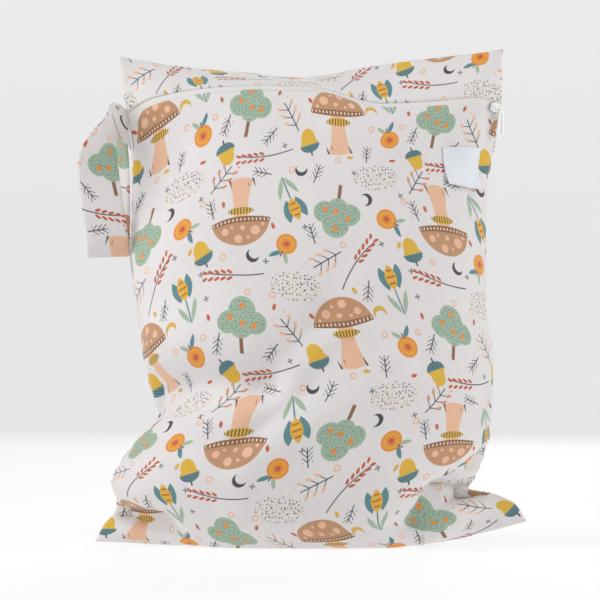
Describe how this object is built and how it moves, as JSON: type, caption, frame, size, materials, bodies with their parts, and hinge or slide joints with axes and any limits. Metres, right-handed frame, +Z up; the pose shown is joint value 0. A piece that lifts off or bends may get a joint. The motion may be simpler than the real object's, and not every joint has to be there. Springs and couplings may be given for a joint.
{
  "type": "cloth diaper wet bag",
  "caption": "Filled cloth wet bag standing upright: sewn panels, a flap over a hidden zip, a side hanging strap, a blank label and a small swinging zip pull.",
  "frame": {"origin": "on the floor, in the middle of the flattened base", "axes": "+Z up, -Y towards the front with the zip, +X towards the side of the label and the zip pull"},
  "size_m": [0.3132, 0.1432, 0.3473],
  "materials": {
    "printed_cloth": "matte knit with a small coloured print",
    "tape": "matte woven tape",
    "coil": "matte nylon",
    "enamel": "glossy white enamel",
    "satin": "satin ribbon"
  },
  "bodies": {
    "bag": {"front_panel": "printed_cloth", "back_panel": "printed_cloth", "top_flap": "printed_cloth", "hang_strap": "printed_cloth", "zip_tape": "tape", "zip_coil": "coil", "zip_slider": "enamel", "label": "satin"},
    "pull": {"zip_pull": "enamel"}
  },
  "joints": [
    {"name": "pull_swing", "type": "hinge", "parent": "bag", "child": "pull", "pos_m": [0.13211, -0.00546, 0.30491], "axis": [0.6503, -0.7506, -0.1168], "range_deg": [-72, 228]}
  ]
}
